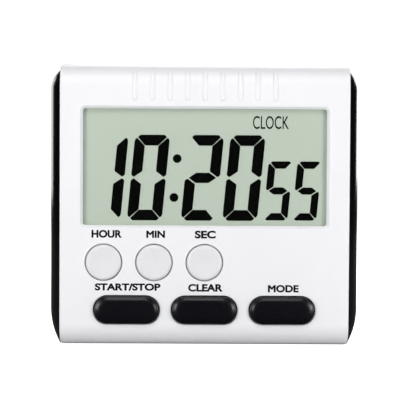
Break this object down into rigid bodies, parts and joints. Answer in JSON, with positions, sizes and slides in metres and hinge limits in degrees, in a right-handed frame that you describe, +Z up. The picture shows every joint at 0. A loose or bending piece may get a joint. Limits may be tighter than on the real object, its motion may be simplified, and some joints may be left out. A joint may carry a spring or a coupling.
{
  "type": "digital countdown timer",
  "caption": "Digital bench timer: white wrap-round cover, dark case, LCD window, round and long keys, fold-out stand, magnets and a battery bay behind.",
  "frame": {"origin": "middle of the part's box at the bottom, on the surface that the timer stands on", "axes": "+Z up, +X to the right as the display is read, +Y from the display to the back"},
  "size_m": [0.085, 0.0206, 0.077],
  "materials": {
    "white_abs": "fine satin",
    "black_abs": "gloss",
    "white_key": "gloss",
    "black_key": "gloss",
    "clear_window": "clear, gloss",
    "polariser_film": "satin",
    "display_glass": "gloss",
    "reflector_film": "satin",
    "frame_plastic": "satin",
    "contact_rubber": "matt",
    "board": "satin",
    "chip_epoxy": "gloss",
    "chip_ceramic": "satin",
    "steel_can": "satin",
    "screw_steel": "zinc plated",
    "keypad_rubber": "matt",
    "contact_carbon": "matt",
    "buzzer_brass": "satin",
    "buzzer_ceramic": "matt",
    "wire_skin": "satin",
    "battery_steel": "plated",
    "battery_label": "gloss",
    "contact_steel": "nickel plated",
    "magnet": "satin"
  },
  "bodies": {
    "case": {"front_cover": "white_abs", "rear_case": "black_abs", "display_lens": "clear_window", "front_polariser": "polariser_film", "front_glass": "display_glass", "rear_glass": "display_glass", "reflector": "reflector_film", "display_frame": "frame_plastic", "contact_strip": "contact_rubber", "circuit_board": "board", "chip_cover": "chip_epoxy", "clock_crystal": "steel_can", "small_components": "chip_ceramic", "board_screws": "screw_steel", "keypad_sheet": "keypad_rubber", "hour_dome": "keypad_rubber", "minute_dome": "keypad_rubber", "second_dome": "keypad_rubber", "start_stop_dome": "keypad_rubber", "clear_dome": "keypad_rubber", "mode_dome": "keypad_rubber", "case_screws": "screw_steel", "buzzer_plate": "buzzer_brass", "buzzer_ceramic": "buzzer_ceramic", "buzzer_wires": "wire_skin", "battery_can": "battery_steel", "battery_sleeve": "battery_label", "battery_spring": "contact_steel", "spring_plate": "contact_steel", "positive_contact": "contact_steel", "battery_wires": "wire_skin", "left_magnet": "magnet", "right_magnet": "magnet"},
    "stand": {"stand": "black_abs"},
    "battery_door": {"battery_door": "black_abs", "battery_door_latch": "black_abs"},
    "hour_key": {"hour_button": "white_key", "hour_pill": "contact_carbon"},
    "minute_key": {"minute_button": "white_key", "minute_pill": "contact_carbon"},
    "second_key": {"second_button": "white_key", "second_pill": "contact_carbon"},
    "start_stop_key": {"start_stop_button": "black_key", "start_stop_pill": "contact_carbon"},
    "clear_key": {"clear_button": "black_key", "clear_pill": "contact_carbon"},
    "mode_key": {"mode_button": "black_key", "mode_pill": "contact_carbon"}
  },
  "joints": [
    {"name": "hour_press", "type": "slide", "parent": "case", "child": "hour_key", "axis": [0, 1, 0], "range_m": [0, 0.0009], "stiffness_N_per_m": 1300, "deforming": ["hour_dome"]},
    {"name": "minute_press", "type": "slide", "parent": "case", "child": "minute_key", "axis": [0, 1, 0], "range_m": [0, 0.0009], "stiffness_N_per_m": 1300, "deforming": ["minute_dome"]},
    {"name": "second_press", "type": "slide", "parent": "case", "child": "second_key", "axis": [0, 1, 0], "range_m": [0, 0.0009], "stiffness_N_per_m": 1300, "deforming": ["second_dome"]},
    {"name": "start_stop_press", "type": "slide", "parent": "case", "child": "start_stop_key", "axis": [0, 1, 0], "range_m": [0, 0.0009], "stiffness_N_per_m": 1300, "deforming": ["start_stop_dome"]},
    {"name": "clear_press", "type": "slide", "parent": "case", "child": "clear_key", "axis": [0, 1, 0], "range_m": [0, 0.0009], "stiffness_N_per_m": 1300, "deforming": ["clear_dome"]},
    {"name": "mode_press", "type": "slide", "parent": "case", "child": "mode_key", "axis": [0, 1, 0], "range_m": [0, 0.0009], "stiffness_N_per_m": 1300, "deforming": ["mode_dome"]},
    {"name": "stand_hinge", "type": "hinge", "parent": "case", "child": "stand", "pos_m": [0, 0.009, 0.0425], "axis": [1, 0, 0], "range_deg": [0, 50]},
    {"name": "battery_door_tilt", "type": "hinge", "parent": "case", "child": "battery_door", "pos_m": [0, 0.0103, 0.04935], "axis": [-1, 0, 0], "range_deg": [0, 35], "deforming": ["battery_door_latch"]}
  ]
}
